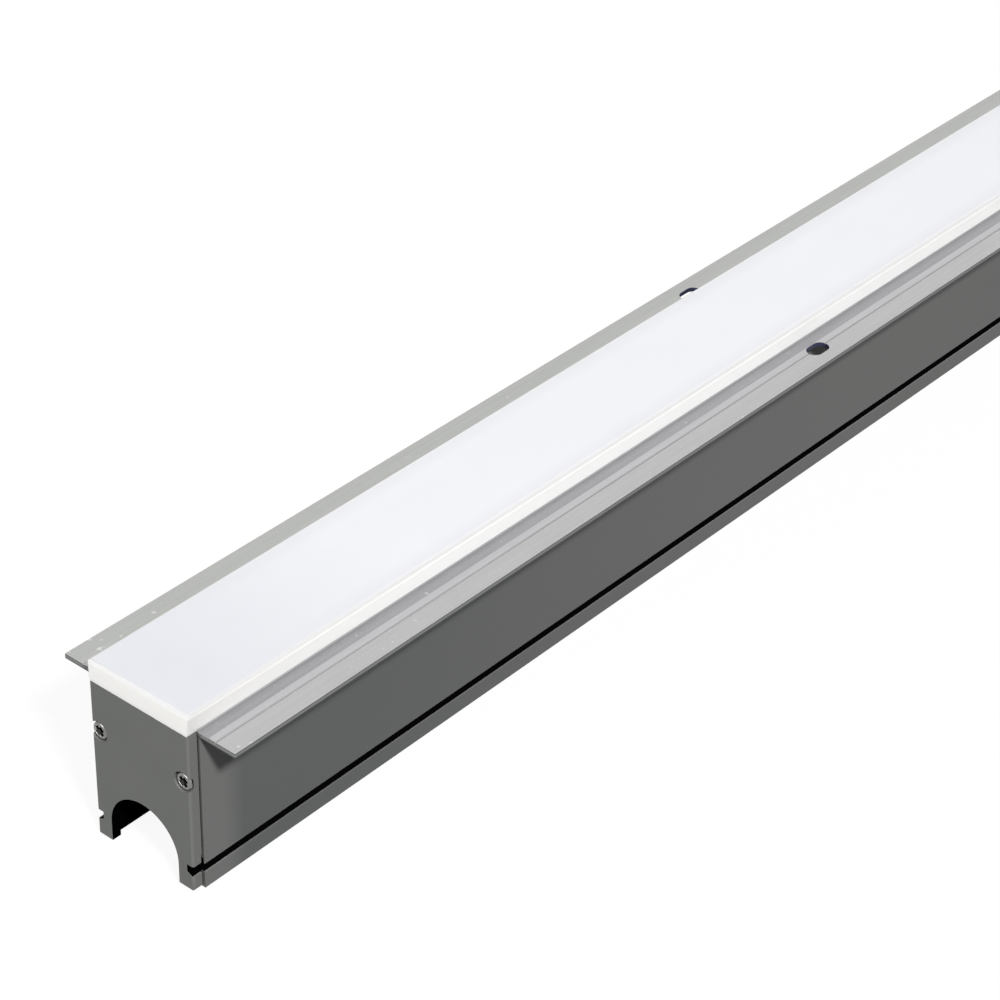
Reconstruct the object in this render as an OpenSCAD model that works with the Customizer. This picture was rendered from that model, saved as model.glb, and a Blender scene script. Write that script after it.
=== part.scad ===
// Recessed linear wall washer light: an extruded aluminium housing with a mounting flange,
// an opal cover over the light chamber, screwed end caps and an open cable channel below.
// Millimetres. X runs along the light, +Z points out of the wall or floor it is set into,
// and the origin is on the floor plane under the middle of the housing.

/* [Overall] */
// Length over both end caps
fixture_l = 1000; // [600:10:1500]
// Width over the side walls
body_w = 35; // [33:0.5:40]
// Height from the feet to the top of the flange
body_h = 49.3; // [47:0.1:60]

/* [Housing extrusion] */
// Width over both flanges
flange_w = 59.4; // [57:0.2:80]
// Thickness of the flange
flange_t = 1.4; // [1.2:0.1:2]
// Thickness of the side walls of the light chamber
wall_t = 1.6; // [1.5:0.1:1.8]
// Thickness of the thickened feet below the clip grooves
foot_t = 3.2; // [3:0.1:4]
// Height at which the feet step back to the thin wall
foot_h = 10.6; // [10:0.2:14]
// Depth of the light chamber, from the top of the flange down to the web
chamber_d = 25.8; // [24.3:0.1:26.8]
// Thickness of the web between chamber and channel
web_t = 2; // [1.8:0.1:3]
// Height of the mouth of the clip groove above the feet
clip_z = 5.6; // [5:0.1:6]
// Height of the mouth of the clip groove
clip_h = 2.2; // [1.8:0.1:2.4]
// Depth of the clip groove
clip_d = 2.5; // [1.5:0.1:2.5]
// How far the clip groove climbs towards its inner end
clip_rise = 0.8; // [0.2:0.1:1]
// Bevel on the outer edge of the foot, under the clip groove
clip_bevel = 0.5; // [0.2:0.1:0.8]
// Width of the sunk inner strip of the flange, as a share of the flange outside the side wall
strip_share = 0.258; // [0.17:0.002:0.32]
// How far the inner strip is sunk
strip_d = 0.15; // [0.1:0.05:0.4]
// Place of the scribed drill line, as a share of the flange outside the side wall
scribe_share = 0.459; // [0.42:0.001:0.48]
// Width of the scribed drill line
scribe_w = 0.6; // [0.4:0.1:1]
// Depth of the scribed drill line
scribe_d = 0.35; // [0.2:0.05:0.5]
// Radius of the fillet between flange and side wall
flange_fillet = 0.8; // [0.4:0.1:1.5]

/* [Flange slots] */
// Distance between the slots along the light
slot_pitch = 500; // [200:10:550]
// Place of the slots' middle line, as a share of the flange outside the side wall
slot_share = 0.475; // [0.46:0.005:0.53]
// Width of a slot
slot_w = 5; // [4:0.1:5.4]
// Length of a slot
slot_l = 8; // [7:0.1:12]

/* [End caps] */
// Thickness of an end cap
cap_t = 3.1; // [2.6:0.1:4]
// How far the cap's sides lie inside the housing's side walls
cap_inset = 0.3; // [0.1:0.05:0.4]
// Height of the cap's top edge above the flange
cap_rise = 0.2; // [0.1:0.1:0.4]
// Height of the cap's feet above the floor plane
cap_foot_z = 1; // [0.4:0.1:1.5]
// Radius of the cable arch
arch_r = 12; // [9:0.1:12]
// How far the top of the cable arch lies below the web
arch_drop = 2.3; // [1.5:0.1:3.5]
// Radius of the cap's outer upright edges
cap_edge_r = 0.7; // [0.3:0.1:1]
// Radius of the outer lower corners of the cap's feet
cap_corner_r = 0.5; // [0.3:0.1:2]
// Height of the cap's notch at the clip groove
notch_h = 2.2; // [2:0.1:3]
// Depth of the cap's notch
notch_d = 2.2; // [1.5:0.1:2.4]
// How much thinner the cap's feet are, on the side that faces the housing
foot_relief = 0.3; // [0.1:0.1:0.6]
// Distance of an end screw's middle from the outside of the housing's side wall
end_screw_in = 2.75; // [2.6:0.05:3.4]
// How far the end screws lie below the top of the flange
end_screw_drop = 14.7; // [13.3:0.1:15.8]
// Diameter of the sunk seat round a screw head
seat_w = 6; // [5.8:0.1:6.4]
// Depth of the sunk seat
seat_d = 1.4; // [1.4:0.1:2]
// Thickness of the gasket behind the cap when it is squeezed
gasket_t = 0.5; // [0.3:0.1:1]
// How far the gasket's edge lies inside the cap's outline
gasket_inset = 0.3; // [0.1:0.1:0.6]
// Height of the gasket's lower edge
gasket_z = 11.5; // [11:0.5:14]

/* [Screws] */
// Diameter of an end screw's thread
end_screw_w = 3; // [2.5:0.1:3]
// Length of an end screw under its head
end_screw_l = 14; // [10:1:20]
// Diameter of an end screw's head
end_head_w = 5.1; // [4.8:0.1:5.6]
// Height of an end screw's head
end_head_h = 1.3; // [1:0.1:1.4]
// Diameter of a board screw's thread
board_screw_w = 2.5; // [2:0.1:2.6]
// Length of a board screw under its head
board_screw_l = 5; // [4:0.5:5]
// Running gap between a thread and its hole
thread_gap = 0.05; // [0.02:0.01:0.1]

/* [Cover] */
// Thickness of the cover's top and sides
cover_t = 2; // [1.6:0.1:2.4]
// Height of the cover's top above the flange
cover_h = 6.7; // [5.5:0.1:12]
// Radius of the cover's upper edges
cover_r = 1.1; // [0.6:0.1:1.8]
// Radius of the cover's upright corners in plan
cover_corner_r = 0.5; // [0.3:0.1:2]
// How far the foot of the cover's sides lies inside the end cap's sides
cover_inset = 0.35; // [0.2:0.05:0.5]
// How far the cover's sides lean outwards from foot to top
cover_lean = 0.6; // [0.2:0.1:0.8]
// Gap between the end cap's top edge and the cover's end
cover_end_gap = 0.15; // [0.1:0.05:0.3]
// Height of the shoulder above the flange
shoulder_gap = 0.7; // [0.5:0.1:1]
// How far the seal lies behind the foot of the cover's side
seal_inset = 0.25; // [0.1:0.05:0.4]
// Thickness of the cover's snap legs
leg_t = 1.5; // [1.2:0.1:1.8]
// How far the snap legs reach below the top of the flange
leg_drop = 5.4; // [5:0.1:7]
// How far a snap rib stands out of the side wall
rib_d = 0.8; // [0.5:0.1:0.9]
// Height of a snap rib
rib_h = 1.2; // [1:0.1:1.6]
// Gap between a snap leg and its rib
snap_gap = 0.2; // [0.1:0.05:0.3]

/* [Light engine] */
// Width of an LED board
board_w = 28; // [26:0.5:29]
// Thickness of an LED board
board_t = 1.6; // [1:0.1:2]
// Gap between a board and the end of the housing, and half of that between boards
board_gap = 5; // [3:0.5:12]
// Height of the seat ribs that carry the boards
seat_rib_h = 4.2; // [4:0.1:4.6]
// Width of a seat rib
seat_rib_w = 4.4; // [4:0.1:5]
// Thickness of a thermal pad
pad_t = 0.3; // [0.2:0.1:0.6]
// Number of LEDs on a board
led_count = 30; // [12:1:34]
// Length of an LED package
led_l = 3.5; // [3:0.1:4]
// Width of an LED package
led_w = 2.8; // [2.4:0.1:3.5]
// Height of an LED package
led_h = 0.7; // [0.5:0.1:1]
// Number of current regulators on a board
regulator_count = 5; // [2:1:6]
// Number of screws along each seat rib of a board
board_screw_count = 3; // [2:1:4]

/* [Cable glands and vent] */
// Distance of a cable gland from the end of the light
gland_inset = 42; // [36:1:60]
// Diameter of the gland's thread
gland_thread_w = 10; // [9:0.5:10]
// Width of the gland's body over its flats
gland_flats = 14; // [13.5:0.5:16]
// Height of the gland's hexagon
gland_hex_h = 3; // [2.5:0.1:3.5]
// Height of the gland's dome nut
dome_h = 7; // [6.5:0.1:8]
// Diameter of the cable that the gland grips
cable_w = 5.6; // [5:0.1:6]
// Height of the gland's lock nut
locknut_h = 2.8; // [2.5:0.1:3]
// Thickness of the ring seals under gland and vent
ring_t = 0.8; // [0.6:0.1:1]
// Diameter of the vent plug's head
vent_w = 11; // [10:0.5:13]
// Height of the vent plug's head
vent_h = 3; // [2.5:0.1:4]
// Diameter of the vent plug's thread
vent_thread_w = 6; // [5:0.5:6]

/* [Hidden] */
$fn = 48;

// Overrun of every cut past the face that it opens
cut = 1;
// Directions of the left and right ends, and of the near and far sides
LEFT = -1;
RIGHT = 1;
NEAR = -1;
FAR = 1;
SIDES = [NEAR, FAR];
ENDS = [LEFT, RIGHT];

profile_l = fixture_l - 2 * (cap_t + gasket_t);
profile_end = profile_l / 2;
chamber_w = body_w - 2 * wall_t;
web_top = body_h - chamber_d;
web_z = web_top - web_t;

// The flange's overhang outside the side wall, and what lies on it
overhang = (flange_w - body_w) / 2;
strip_y = body_w / 2 + strip_share * overhang;
strip_z = body_h - strip_d;
scribe_y = body_w / 2 + scribe_share * overhang;
slot_y = body_w / 2 + slot_share * overhang;

// End caps
cap_back = fixture_l / 2 - cap_t;
cap_w = body_w - 2 * cap_inset;
cap_top = body_h + cap_rise;
cap_h = cap_top - cap_foot_z;
arch_z = web_z - arch_drop - arch_r;
end_screw_y = body_w / 2 - end_screw_in;
end_screw_z = body_h - end_screw_drop;

// Screw ports of the extrusion: a round bore with a lip all round and a slit to the chamber
port_wall = 1.4;
port_slit_w = 1.4;
port_r = end_screw_w / 2 + thread_gap;
end_hole_r = end_screw_w / 2 + 4 * thread_gap;

// Cover
cover_foot_w = cap_w - 2 * cover_inset;
cover_w = cover_foot_w + 2 * cover_lean;
cover_top = body_h + cover_h;
cover_end_z = cap_top + cover_end_gap;
cover_inner_r = 0.3;
shoulder_z = body_h + shoulder_gap;
shoulder_t = 1.5;
rib_bottom = body_h - leg_drop + 1.5 * rib_h;
leg_y = chamber_w / 2 - rib_d - snap_gap;
leg_bottom = body_h - leg_drop;
leg_barb = rib_d - snap_gap / 2;
leg_l = profile_l - 2 * gasket_t;
seal_w = (cover_foot_w - chamber_w) / 2 - seal_inset;

// Light engine
rib_y = board_w / 2 - seat_rib_w / 2 - wall_t / 2;
pad_z = web_top + seat_rib_h;
board_z = pad_z + pad_t;
board_top = board_z + board_t;
board_l = profile_l / 2 - 2 * board_gap;
board_x = board_gap + board_l / 2;
led_pitch = board_l / led_count;
phosphor_w_share = 0.8;
phosphor_h_share = 0.15;
phosphor_w = phosphor_w_share * led_w;
phosphor_h = phosphor_h_share * led_h;
regulator_l = 4.9;
regulator_w = 3.9;
regulator_h = 1.5;
pin_l = 1;
pin_w = 0.4;
pin_t = 0.2;
resistor_l = 3.2;
resistor_w = 1.6;
resistor_h = 0.6;
parts_y = led_w / 2 + regulator_l;
resistor_rows = 2;
board_screw_margin = 20;
head_w_share = 1.8;
head_h_share = 0.6;
board_head_w = head_w_share * board_screw_w;
board_head_h = head_h_share * board_screw_w;
board_hole_r = board_screw_w / 2 + 3 * thread_gap;
connector_l = 8;
connector_w = 6;
connector_h = 3.4;
connector_inset = 6;
connector_y = end_screw_y - port_r - port_wall - connector_w / 2 - 2 * pad_t;
wire_r = 0.7;
wire_gap = 2.4;

// Glands and vent
gland_x = fixture_l / 2 - gland_inset;
gland_hole_r = gland_thread_w / 2 + 2 * thread_gap;
hex_z = web_z - ring_t - gland_hex_h;
dome_z = hex_z - dome_h;
stem_r_share = 0.42;
stem_h_share = 0.55;
seal_r_share = 0.76;
skirt_h_share = 0.5;
stem_r = stem_r_share * gland_flats;
stem_h = stem_h_share * dome_h;
seal_r = seal_r_share * stem_r;
gland_bore_r = cable_w / 2 + 6 * thread_gap;
dome_lip = 1.2;
hex_share = 1 / cos(30);
vent_hole_r = vent_thread_w / 2 + 2 * thread_gap;
vent_nib = 2;
vent_slot_w = 1.4;

// Height of a screw head's straight side, and its cross recess, as shares of its head
end_side_share = 0.75;
board_side_share = 0.5;
cross_l_share = 0.55;
cross_w_share = 0.2;
cross_d_share = 0.6;

// Runs a section drawn in Y and Z along X, centred on the origin
module run(l) {
    translate([-l / 2, 0, 0])
        rotate([90, 0, 90])
            linear_extrude(l)
                children();
}

// Puts a copy of a right-hand or far-side shape on both sides of the housing
module both_sides() {
    for (side = SIDES)
        mirror([0, side == FAR ? 0 : 1, 0])
            children();
}

// The same for a section drawn in Y and Z
module both_halves() {
    for (side = SIDES)
        mirror([side == FAR ? 0 : 1, 0])
            children();
}

// Faces a piece of the right-hand end to the chosen end
module at_end(end) {
    mirror([end == RIGHT ? 0 : 1, 0, 0])
        children();
}

// What a quarter round of the radius leaves over in its corner
module corner_waste(r) {
    difference() {
        square([r + cut, r + cut]);
        circle(r);
    }
}

// One side of the housing's section, from the foot to the flange
module side_section() {
    outer = body_w / 2;
    inner = outer - wall_t;
    polygon([
        [outer - foot_t, 0],
        [outer, 0],
        [outer, clip_z - clip_bevel],
        [outer - clip_bevel, clip_z],
        [outer - clip_d, clip_z + clip_rise],
        [outer - clip_d, clip_z + clip_h + clip_rise],
        [outer, clip_z + clip_h],
        [outer, body_h - flange_t],
        [flange_w / 2, body_h - flange_t],
        [flange_w / 2, body_h],
        [scribe_y + scribe_w / 2, body_h],
        [scribe_y, body_h - scribe_d],
        [scribe_y - scribe_w / 2, body_h],
        [strip_y, body_h],
        [strip_y, strip_z],
        [inner, strip_z],
        [inner, rib_bottom + rib_h],
        [inner - rib_d, rib_bottom + rib_h - rib_d / 2],
        [inner - rib_d, rib_bottom],
        [inner, rib_bottom],
        [inner, foot_h + foot_t - wall_t],
        [outer - foot_t, foot_h]
    ]);
    translate([outer + flange_fillet, body_h - flange_t - flange_fillet])
        mirror([1, 0])
            corner_fill(flange_fillet);
}

// A fillet that fills the corner at the end of its radius
module corner_fill(r) {
    difference() {
        square([r, r]);
        circle(r);
    }
}

// The web between channel and chamber, with the two ribs that the boards sit on
module web_section() {
    reach = (chamber_w + wall_t) / 2;
    rib_in = rib_y - seat_rib_w / 2;
    rib_out = rib_y + seat_rib_w / 2;
    polygon([
        [-reach, web_z], [reach, web_z], [reach, web_top],
        [rib_out, web_top], [rib_out, pad_z], [rib_in, pad_z], [rib_in, web_top],
        [-rib_in, web_top], [-rib_in, pad_z], [-rib_out, pad_z], [-rib_out, web_top],
        [-reach, web_top]
    ]);
}

// The whole section of the extrusion, with web, seat ribs and screw ports
module profile_section() {
    difference() {
        union() {
            both_halves()
                side_section();
            web_section();
            both_halves()
                intersection() {
                    translate([end_screw_y, end_screw_z])
                        circle(port_r + port_wall);
                    translate([0, web_z])
                        square([body_w / 2, body_h - web_z]);
                }
        }
        both_halves() {
            translate([end_screw_y, end_screw_z])
                circle(port_r);
            translate([end_screw_y - port_r - port_wall - cut, end_screw_z - port_slit_w / 2])
                square([port_r + port_wall + cut, port_slit_w]);
        }
    }
}

// An upright slot through the flange, centred on the origin
module flange_slot() {
    reach = (slot_l - slot_w) / 2;
    for (end = ENDS)
        translate([end * reach, 0, -cut])
            cylinder(r = slot_w / 2, h = flange_t + 2 * cut);
    translate([-reach, -slot_w / 2, -cut])
        cube([2 * reach, slot_w, flange_t + 2 * cut]);
}

module housing_profile() {
    color("dimgray")
        difference() {
            run(profile_l)
                profile_section();
            for (end = ENDS, side = SIDES)
                translate([end * slot_pitch / 2, side * slot_y, body_h - flange_t])
                    flange_slot();
            for (end = ENDS)
                translate([end * gland_x, 0, web_z - cut])
                    cylinder(r = gland_hole_r, h = web_t + 2 * cut);
            translate([0, 0, web_z - cut])
                cylinder(r = vent_hole_r, h = web_t + 2 * cut);
            at_board_screws()
                translate([0, 0, -board_screw_l - thread_gap])
                    cylinder(r = board_screw_w / 2 + thread_gap, h = board_screw_l);
        }
}

// Section of the cover between its ends: top, sides, shoulders and snap legs
module cover_cavity_section() {
    half = cover_w / 2 - cover_t;
    difference() {
        translate([-half, body_h - cut])
            square([2 * half, cover_top - cover_t - body_h + cut]);
        both_halves()
            translate([half - cover_inner_r, cover_top - cover_t - cover_inner_r])
                corner_waste(cover_inner_r);
    }
}

module cover_leg_section() {
    polygon([
        [leg_y - leg_t, leg_bottom],
        [leg_y, leg_bottom],
        [leg_y + leg_barb, leg_bottom + leg_barb],
        [leg_y + leg_barb, rib_bottom - snap_gap],
        [leg_y, rib_bottom - snap_gap],
        [leg_y, shoulder_z],
        [cover_foot_w / 2 - cover_t / 4, shoulder_z],
        [cover_foot_w / 2 - cover_t / 4, shoulder_z + shoulder_t],
        [leg_y - leg_t, shoulder_z + shoulder_t]
    ]);
}

// The cover's outer block: three rounded outlines meet in it, one for each direction
module cover_block() {
    h = cover_top - cover_end_z;
    intersection() {
        run(fixture_l)
            difference() {
                polygon([
                    [-cover_foot_w / 2, cover_end_z],
                    [cover_foot_w / 2, cover_end_z],
                    [cover_w / 2, cover_top - cover_r],
                    [cover_w / 2, cover_top],
                    [-cover_w / 2, cover_top],
                    [-cover_w / 2, cover_top - cover_r]
                ]);
                both_halves()
                    translate([cover_w / 2 - cover_r, cover_top - cover_r])
                        corner_waste(cover_r);
            }
        rotate([90, 0, 0])
            translate([0, 0, -cover_w])
                linear_extrude(2 * cover_w)
                    difference() {
                        translate([-fixture_l / 2, cover_end_z])
                            square([fixture_l, h]);
                        both_halves()
                            translate([fixture_l / 2 - cover_r, cover_top - cover_r])
                                corner_waste(cover_r);
                    }
        translate([0, 0, cover_end_z - cut])
            linear_extrude(h + 2 * cut)
                difference() {
                    translate([-fixture_l / 2, -cover_w / 2])
                        square([fixture_l, cover_w]);
                    for (end = ENDS)
                        mirror([end == RIGHT ? 0 : 1, 0])
                            for (side = SIDES)
                                mirror([0, side == FAR ? 0 : 1])
                                    translate([fixture_l / 2 - cover_corner_r, cover_w / 2 - cover_corner_r])
                                        corner_waste(cover_corner_r);
                }
    }
}

module diffuser_cover() {
    color("white") {
        difference() {
            cover_block();
            run(profile_l) {
                cover_cavity_section();
                both_halves()
                    translate([cover_w / 4, cap_top - cut])
                        square([cover_w / 2, shoulder_z - cap_top + cut]);
            }
        }
        run(leg_l)
            both_halves()
                cover_leg_section();
    }
}

// A soft strip that the cover's shoulder presses on the top of one side wall
module cover_seal(side) {
    color("gainsboro")
        mirror([0, side == FAR ? 0 : 1, 0])
            run(leg_l)
                translate([body_w / 2 - wall_t, strip_z])
                    square([seal_w, shoulder_z - strip_z]);
}

// Outline of the end cap in Y and Z, with arch, clip notches and rounded feet
module cap_outline() {
    half = cap_w / 2;
    difference() {
        translate([-half, cap_foot_z])
            square([cap_w, cap_h]);
        translate([0, arch_z])
            circle(arch_r);
        translate([-arch_r, arch_z - body_h])
            square([2 * arch_r, body_h]);
        both_halves() {
            polygon([
                [half + cut, clip_z + clip_rise + notch_h],
                [half - notch_d, clip_z + clip_rise + notch_h],
                [half - notch_d, clip_z + clip_rise],
                [half, clip_z - clip_bevel / 2],
                [half + cut, clip_z - clip_bevel / 2]
            ]);
            translate([half - cap_corner_r, cap_foot_z + cap_corner_r])
                mirror([0, 1])
                    corner_waste(cap_corner_r);
        }
    }
}

module end_cap(end) {
    color("dimgray")
        at_end(end)
            difference() {
                translate([cap_back, 0, 0])
                    rotate([90, 0, 90])
                        linear_extrude(cap_t)
                            cap_outline();
                both_sides()
                    translate([fixture_l / 2 - cap_edge_r, cap_w / 2 - cap_edge_r, 0])
                        linear_extrude(body_h + cut)
                            corner_waste(cap_edge_r);
                translate([cap_back - cut, -cap_w, 0])
                    cube([foot_relief + cut, 2 * cap_w, gasket_z]);
                both_sides()
                    translate([cap_back - cut, end_screw_y, end_screw_z])
                        rotate([0, 90, 0])
                            cylinder(r = end_hole_r, h = cap_t + 2 * cut);
                both_sides()
                    translate([fixture_l / 2 - seat_d, end_screw_y, end_screw_z])
                        rotate([0, 90, 0])
                            cylinder(r = seat_w / 2, h = seat_d + cut);
            }
}

module end_gasket(end) {
    half = cap_w / 2 - gasket_inset;
    color("black")
        at_end(end)
            translate([profile_end, 0, 0])
                rotate([90, 0, 90])
                    linear_extrude(gasket_t)
                        difference() {
                            translate([-half, gasket_z])
                                square([2 * half, body_h - gasket_inset - gasket_z]);
                            translate([0, arch_z])
                                circle(arch_r + gasket_inset);
                            both_halves()
                                translate([end_screw_y, end_screw_z])
                                    circle(end_hole_r);
                        }
}

// A pan head screw along +Z with its head's seat at z = 0 and a cross recess on top
module pan_screw(d, l, head_w, head_h, side_share) {
    crown_h = head_h * (1 - side_share);
    crown_r = (head_w * head_w / 4 + crown_h * crown_h) / (2 * crown_h);
    cross_l = cross_l_share * head_w;
    cross_w = cross_w_share * head_w;
    cross_z = head_h * (1 - cross_d_share);
    difference() {
        union() {
            translate([0, 0, -l])
                cylinder(r = d / 2, h = l);
            intersection() {
                cylinder(r = head_w / 2, h = head_h);
                translate([0, 0, head_h - crown_r])
                    sphere(crown_r);
            }
        }
        for (turn = [0, 90])
            rotate([0, 0, turn])
                translate([-cross_l / 2, -cross_w / 2, cross_z])
                    cube([cross_l, cross_w, head_h]);
    }
}

module end_screws(end) {
    color("silver")
        at_end(end)
            both_sides()
                translate([fixture_l / 2 - seat_d, end_screw_y, end_screw_z])
                    rotate([0, 90, 0])
                        rotate([0, 0, 45])
                            pan_screw(end_screw_w, end_screw_l, end_head_w, end_head_h, end_side_share);
}

// Places of the board screws, at the top face of the boards
module at_board_screws() {
    reach = board_l / 2 - board_screw_margin;
    step = 2 * reach / (board_screw_count - 1);
    for (end = ENDS, side = SIDES, i = [0 : board_screw_count - 1])
        translate([end * board_x - reach + i * step, side * rib_y, board_top])
            children();
}

// One LED board, with its screw holes
module led_board(end) {
    color("whitesmoke")
        difference() {
            translate([end * board_x - board_l / 2, -board_w / 2, board_z])
                cube([board_l, board_w, board_t]);
            at_board_screws()
                translate([0, 0, -board_t - cut])
                    cylinder(r = board_hole_r, h = board_t + 2 * cut);
        }
}

// The pads under one board, one strip on each seat rib
module thermal_pads(end) {
    color("lightsteelblue")
        difference() {
            both_sides()
                translate([end * board_x - board_l / 2, rib_y - seat_rib_w / 2, pad_z])
                    cube([board_l, seat_rib_w, pad_t]);
            at_board_screws()
                translate([0, 0, -board_t - pad_t - cut])
                    cylinder(r = board_hole_r, h = pad_t + 2 * cut);
        }
}

module led_packages(end) {
    color("lemonchiffon")
        for (i = [0 : led_count - 1])
            translate([end * board_x + (i - (led_count - 1) / 2) * led_pitch, 0, board_top]) {
                translate([-led_l / 2, -led_w / 2, 0])
                    cube([led_l, led_w, led_h - phosphor_h]);
                cylinder(r = phosphor_w / 2, h = led_h);
            }
}

// A regulator in a small outline package, with two rows of pins
module regulator() {
    translate([-regulator_l / 2, -regulator_w / 2, pin_t])
        cube([regulator_l, regulator_w, regulator_h]);
    for (side = SIDES, i = [-1.5 : 1.5])
        translate([i * regulator_l / 4 - pin_w / 2, side * regulator_w / 2 - pin_l / 2, 0])
            cube([pin_w, pin_l, 2 * pin_t]);
}

// Place along the light of a board's regulators and of the resistors opposite them
function regulator_x(end, i) =
    end * board_x + (i + 0.5 - regulator_count / 2) * board_l / regulator_count;

module current_regulators() {
    color("darkslategray")
        for (end = ENDS, i = [0 : regulator_count - 1])
            translate([regulator_x(end, i), parts_y, board_top])
                regulator();
}

module series_resistors() {
    color("black")
        for (end = ENDS, i = [0 : regulator_count - 1], row = [1 : resistor_rows])
            translate([
                regulator_x(end, i) - resistor_l / 2,
                -parts_y + (row - 1.5) * 2 * resistor_w - resistor_w / 2,
                board_top
            ])
                cube([resistor_l, resistor_w, resistor_h]);
}

module board_screws() {
    color("gainsboro")
        at_board_screws()
            pan_screw(board_screw_w, board_screw_l, board_head_w, board_head_h, board_side_share);
}

// A two-way wire connector that opens towards +X
module connector() {
    difference() {
        translate([-connector_l, -connector_w / 2, 0])
            cube([connector_l, connector_w, connector_h]);
        for (side = SIDES)
            translate([-connector_l / 2, side * wire_gap / 2, connector_h / 2])
                rotate([0, 90, 0])
                    cylinder(r = wire_r + thread_gap, h = connector_l / 2 + cut);
    }
}

// Two connectors join the boards and one on each board takes the supply leads
module board_connectors() {
    color("ivory") {
        for (end = ENDS)
            translate([end * (board_gap + connector_inset), 0, 0])
                mirror([end == LEFT ? 0 : 1, 0, 0])
                    translate([connector_inset / 2, connector_y, board_top])
                        connector();
        for (end = ENDS)
            translate([end * (board_x + board_l / 2 - connector_inset), 0, 0])
                mirror([end == RIGHT ? 0 : 1, 0, 0])
                    translate([connector_inset / 2, connector_y, board_top])
                        connector();
    }
}

// The two wires that pass the supply from one board to the next
module link_wires() {
    wire_l = 2 * (board_gap + connector_inset / 2) + connector_l - 4 * thread_gap;
    color("firebrick")
        for (side = SIDES)
            translate([-wire_l / 2, connector_y + side * wire_gap / 2, board_top + connector_h / 2])
                rotate([0, 90, 0])
                    cylinder(r = wire_r, h = wire_l);
}

// Moves a piece that is drawn about the gland's axis to its end
module at_gland(end) {
    translate([end * gland_x, 0, 0])
        children();
}

// A hexagonal prism, given by its width over the flats
module hex(flats, h) {
    cylinder(r = flats / 2 * hex_share, h = h, $fn = 6);
}

module gland_body(end) {
    color("dimgray")
        at_gland(end)
            difference() {
                union() {
                    translate([0, 0, hex_z])
                        hex(gland_flats, gland_hex_h);
                    translate([0, 0, hex_z])
                        cylinder(r = gland_thread_w / 2, h = web_top + locknut_h - hex_z);
                    translate([0, 0, hex_z - stem_h])
                        cylinder(r = stem_r, h = stem_h);
                }
                translate([0, 0, hex_z - stem_h - cut])
                    cylinder(r = gland_bore_r, h = web_top + locknut_h - hex_z + stem_h + 2 * cut);
                translate([0, 0, hex_z - stem_h - cut])
                    cylinder(r = seal_r, h = stem_h + cut);
            }
}

module gland_dome_nut(end) {
    gap = 2 * thread_gap;
    skirt_h = skirt_h_share * dome_h;
    color("dimgray")
        at_gland(end)
            difference() {
                union() {
                    translate([0, 0, hex_z - skirt_h])
                        hex(gland_flats, skirt_h);
                    intersection() {
                        translate([0, 0, dome_z])
                            cylinder(r = gland_flats / 2, h = dome_h);
                        translate([0, 0, dome_z + gland_flats / 2])
                            sphere(gland_flats / 2 * hex_share);
                    }
                }
                translate([0, 0, hex_z - stem_h - gap])
                    cylinder(r = stem_r + gap, h = dome_h);
                translate([0, 0, dome_z + dome_lip])
                    cylinder(r = seal_r, h = dome_h);
                translate([0, 0, dome_z - cut])
                    cylinder(r = gland_bore_r, h = dome_h);
            }
}

// The rubber sleeve that the dome nut squeezes round the cable
module gland_seal(end) {
    bottom = dome_z + dome_lip;
    color("black")
        at_gland(end)
            difference() {
                translate([0, 0, bottom])
                    cylinder(r = seal_r - thread_gap, h = hex_z - bottom);
                translate([0, 0, bottom - cut])
                    cylinder(r = cable_w / 2, h = hex_z - bottom + 2 * cut);
            }
}

module gland_lock_nut(end) {
    color("dimgray")
        at_gland(end)
            translate([0, 0, web_top])
                difference() {
                    hex(gland_flats, locknut_h);
                    translate([0, 0, -cut])
                        cylinder(r = gland_thread_w / 2 + thread_gap, h = locknut_h + 2 * cut);
                }
}

// A flat ring round a thread, pressed against the underside of the web
module ring_seal(hole_r, outer_r) {
    translate([0, 0, web_z - ring_t])
        difference() {
            cylinder(r = outer_r, h = ring_t);
            translate([0, 0, -cut])
                cylinder(r = hole_r, h = ring_t + 2 * cut);
        }
}

module gland_ring_seals() {
    color("black")
        for (end = ENDS)
            at_gland(end)
                ring_seal(gland_thread_w / 2 + thread_gap, gland_flats / 2 - ring_t / 2);
}

module vent_plug() {
    head_z = web_z - ring_t - vent_h;
    color("gray")
        difference() {
            union() {
                translate([0, 0, head_z])
                    cylinder(r = vent_w / 2, h = vent_h);
                translate([0, 0, head_z])
                    cylinder(r = vent_thread_w / 2, h = web_top + vent_nib - head_z);
            }
            translate([0, 0, head_z + vent_h / 2])
                cylinder(r = vent_thread_w / 4, h = web_top + vent_nib - head_z);
            for (turn = [0, 90])
                rotate([0, 0, turn])
                    translate([-vent_w, -vent_slot_w / 2, head_z - cut])
                        cube([2 * vent_w, vent_slot_w, vent_h / 3 + cut]);
        }
}

module vent_ring_seal() {
    color("black")
        ring_seal(vent_thread_w / 2 + thread_gap, vent_w / 2 - ring_t / 2);
}

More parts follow.
